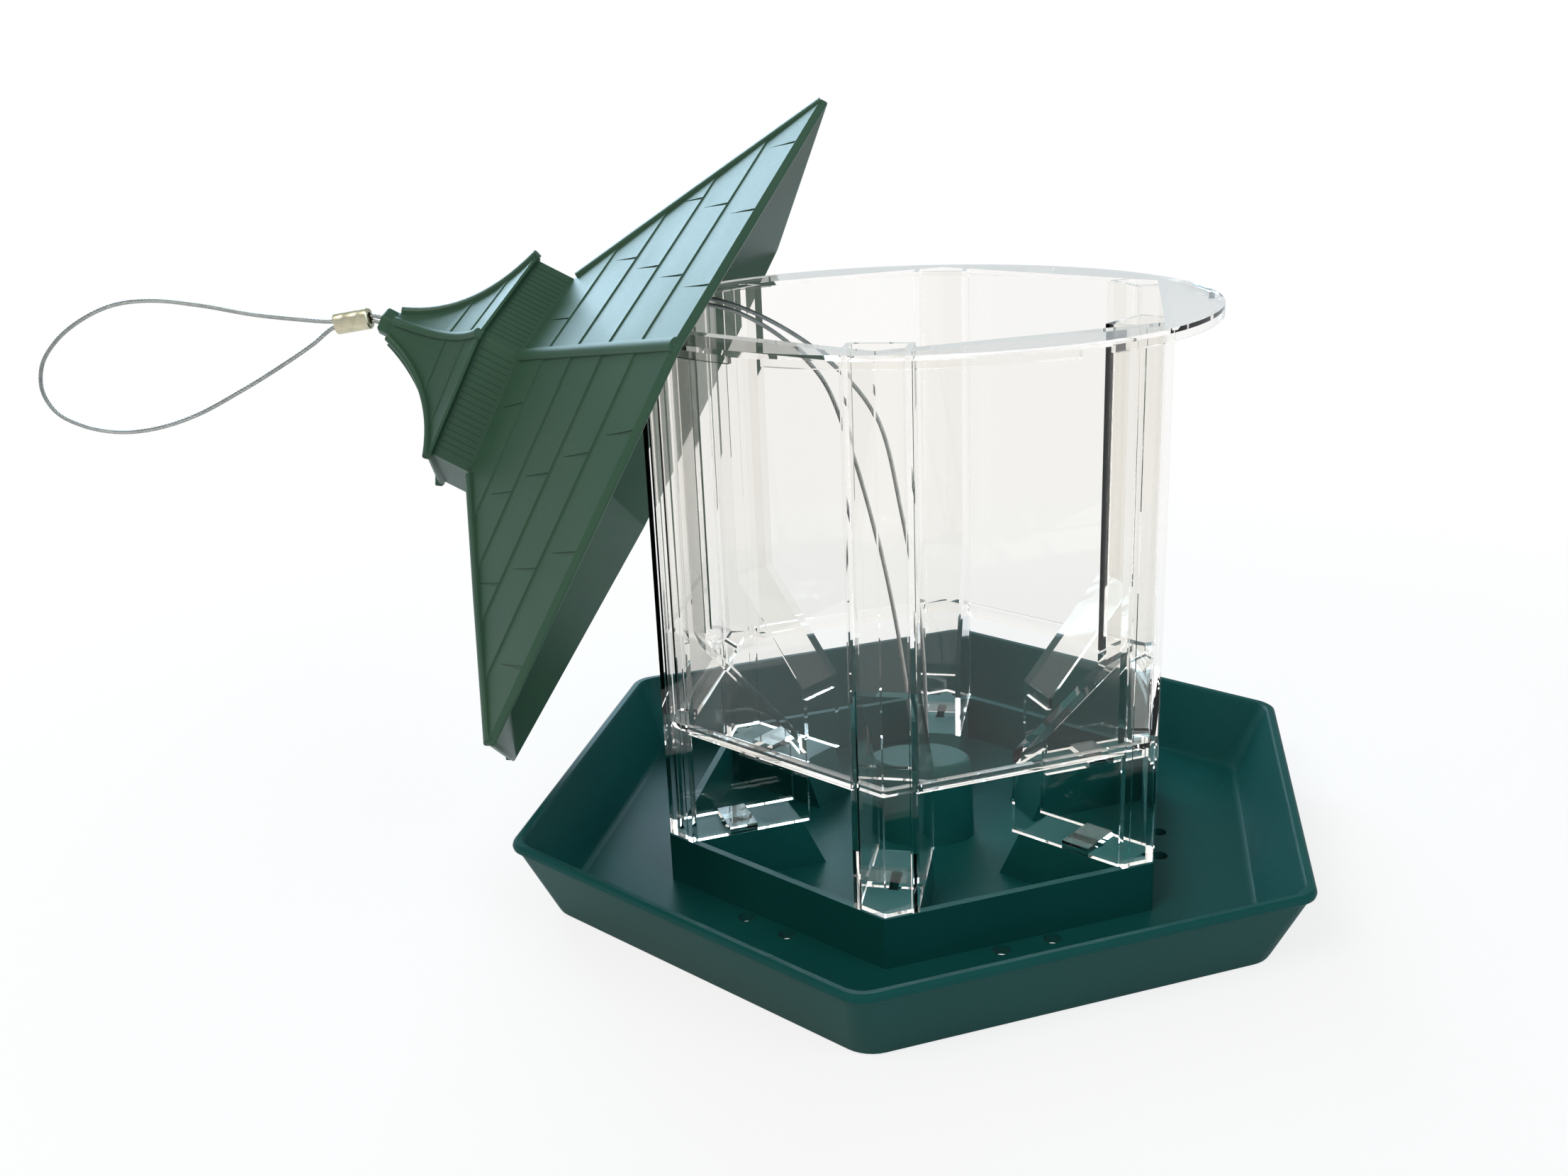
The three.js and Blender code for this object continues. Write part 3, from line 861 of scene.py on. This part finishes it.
def slate_joint(angle, course, aside, lean):
    low = course / COURSES
    span = 1 / COURSES
    foot = on_face(angle, low + 0.02 * span, aside, 0)
    tip = on_face(angle, low + 0.8 * span, aside + 6.5 * lean, 0)
    across = on_face(angle, low, aside + 1, 0) - on_face(angle, low, aside, 0)
    outward = (on_face(angle, low, aside, 1) - on_face(angle, low, aside, 0)).normalized()
    half = across.normalized() * JOINT_WIDTH / 2
    points = [
        foot - half - outward * (JOINT_DEPTH - COURSE_STEP),
        foot + half - outward * (JOINT_DEPTH - COURSE_STEP),
        tip - outward * 0.05,
        foot - half + outward * 2,
        foot + half + outward * 2,
        tip + outward * 2,
    ]
    faces = [(0, 1, 2), (5, 4, 3), (0, 3, 4, 1), (1, 4, 5, 2), (2, 5, 3, 0)]
    return piece("slate_joint", points, faces)


def slate_joints():
    cutters = []
    for face in range(6):
        angle = 30 + 60 * face
        lean = 1 if face % 2 else -1
        for course in range(COURSES):
            reach = tier_point((course + 0.5) / COURSES)[0] / 2 - 6
            shift = (course * 13.0) % SPACING
            for k in range(-3, 4):
                aside = lean * (k * SPACING + shift)
                if abs(aside) < reach:
                    cutters.append(slate_joint(angle, course, aside, lean))
    return together("slate_joints", cutters)


# %% [markdown]
# A rounded cap covers each hip, where two faces meet. It is a low arch carried along the hip from the
# eave, up the collar and on to the hub. Fine upright lines on the collar stand for boards.

# %% Hip caps and collar boards
HIP_WIDTH = 3.4
HIP_RISE = 1.2
ARCH = [  # across and up, as shares of half the width and of the rise
    (-1, -0.9), (-1, 0.35), (-0.8, 0.72), (-0.4, 0.94), (0, 1),
    (0.4, 0.94), (0.8, 0.72), (1, 0.35), (1, -0.9),
]


def hip_cap(angle, line, width=HIP_WIDTH):
    rings = []
    for i, (radius, height) in enumerate(line):
        before, after = line[max(i - 1, 0)], line[min(i + 1, len(line) - 1)]
        run = Vector((after[0] - before[0], after[1] - before[1])).normalized()
        out_r, out_z = run.y, -run.x
        ring = []
        for across, lift in ARCH:
            r = radius + out_r * lift * HIP_RISE
            z = height + out_z * lift * HIP_RISE
            ring.append(around(angle, r, z, across * width / 2))
        rings.append(ring)
    return piece("hip_cap", *skin(rings))


def hip_caps():
    lower = [(EAVE_RADIUS - 0.6, EAVE_THICKNESS + 0.1), tier_point(0.5), tier_point(0.985)]
    upper = upper_rows()
    caps = []
    for turn in range(6):
        caps.append(hip_cap(60 * turn, lower))
        caps.append(hip_cap(60 * turn, upper, HIP_WIDTH * 0.7))
    return caps


def collar_boards():
    cutters = []
    flat = COLLAR_RADIUS * FLAT_SHARE
    for face in range(6):
        for board in range(-8, 9):
            low, high = TIER_TOP + 0.8, COLLAR_TOP - 1.6
            outline = [(flat - 0.12, low), (flat + 1, low), (flat + 1, high), (flat - 0.12, high)]
            cutters.append(piece("board", *prism(30 + 60 * face, outline, 0.24, board * 1.8)))
    return together("collar_boards", cutters)


def upper_courses():
    """Two steps round the upper tier, as low hexagonal bands."""
    rows = upper_rows()
    bands = []
    for first in (3, 7):
        (r0, z0), (r1, z1) = rows[first], rows[first + 1]
        inside = [(r1 - 1, z1 - 0.6), (r0 - 1, z0 - 0.6)]
        outside = [(r0 + 0.25, z0 - 0.1), (r0 + 0.15, z0 + 0.3), (r1, z1 + 0.03)]
        rings = [hexagon(r, z, 0.5, first=0) for r, z in inside + outside]
        bands.append(piece("band", *skin(rings, closed=True)))
    return bands


# %% [markdown]
# The roof is put together upright in its own frame. Grooves are cut first and raised parts are added
# after, and only then is it laid into its tipped place.

# %% Roof
roof = roof_shell()
combine(roof, slate_joints(), "DIFFERENCE")
combine(roof, collar_boards(), "DIFFERENCE")
for addition in hip_caps() + upper_courses():
    combine(roof, addition, "UNION")
rounded(roof, 0.16, 2, 28)
roof.name = "roof_moulding"
roof.data.transform(roof_place)
wear(roof, roof_green)
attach(roof, "roof")
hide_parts("roof")
print("roof has", len(roof.data.polygons), "faces")

# %% [markdown]
# ## Studio
# A white floor and a white world make the plain background. Both are as bright as white only to the eye,
# the mirror and the lens, so the feeder itself is lit by three soft lamps. The upper sky is a little blue,
# which is what turns the roof's upper faces pale blue.

# %% Studio
def floor_finish():
    look = Finish("floor")
    lit = look.add("BsdfDiffuse", Color=(0.86, 0.86, 0.86, 1))
    white = look.add("Emission", Color=(1, 1, 1, 1), Strength=1.0)
    eye = look.add("LightPath", output=0)
    mirror = look.add("LightPath", output=3)
    lens_ray = look.add("LightPath", output=6)
    away = look.add("VectorMath", {"operation": "LENGTH"}, output=1, i0=look.add("NewGeometry"))
    fade = look.add("MapRange", i0=away, i1=0.16, i2=0.42, i3=0.80, i4=1.0)
    seen = eye + 0.3 * mirror + lens_ray
    seen.socket.node.use_clamp = True
    share = fade * seen
    return look.done(look.add("MixShader", Fac=share, i1=lit, i2=white))


def sky():
    world = bpy.data.worlds.new("studio")
    look = Finish("studio", world)
    eye = look.add("LightPath", output=0)
    lens_ray = look.add("LightPath", output=6)
    mirror = look.add("LightPath", output=3)
    direct = eye + lens_ray
    direct.socket.node.use_clamp = True
    soft = look.add("Background", Color=(0.95, 0.97, 1.0, 1), Strength=0.36)
    white = look.add("Background", Color=(1, 1, 1, 1), Strength=1.0)
    blue = look.add("Background", Color=(0.78, 0.93, 1.0, 1), Strength=0.55)
    behind = look.add("MixShader", Fac=mirror, i1=soft, i2=blue)
    return look.done(look.add("MixShader", Fac=direct, i1=behind, i2=white))


def lamp(name, place, target, size, watts, color):
    light = bpy.data.lights.new(name, "AREA")
    light.shape = "DISK"
    light.size = size
    light.energy = watts
    light.color = color
    made = bpy.data.objects.new(name, light)
    made.location = place
    made.rotation_euler = (Vector(target) - Vector(place)).to_track_quat("-Z", "Y").to_euler()
    bpy.context.collection.objects.link(made)


bpy.context.scene.world = sky()
SIDE = 3000
BELOW = -0.3
floor_corners = [(x, y, BELOW) for x, y in ((-SIDE, -SIDE), (SIDE, -SIDE), (SIDE, SIDE), (-SIDE, SIDE))]
floor = piece("floor", floor_corners, [(0, 1, 2, 3)])
wear(floor, floor_finish())
middle = (-0.02, 0, 0.09)
lamp("key", (-0.5, -0.9, 1.1), middle, 0.7, 9, (1.0, 0.96, 0.86))
lamp("fill", (0.9, -0.6, 0.7), middle, 0.8, 5, (0.76, 0.93, 1.0))
lamp("sky", (-0.6, 0.9, 0.58), middle, 0.9, 13, (0.60, 0.84, 1.0))
bpy.context.scene.view_settings.view_transform = "Standard"
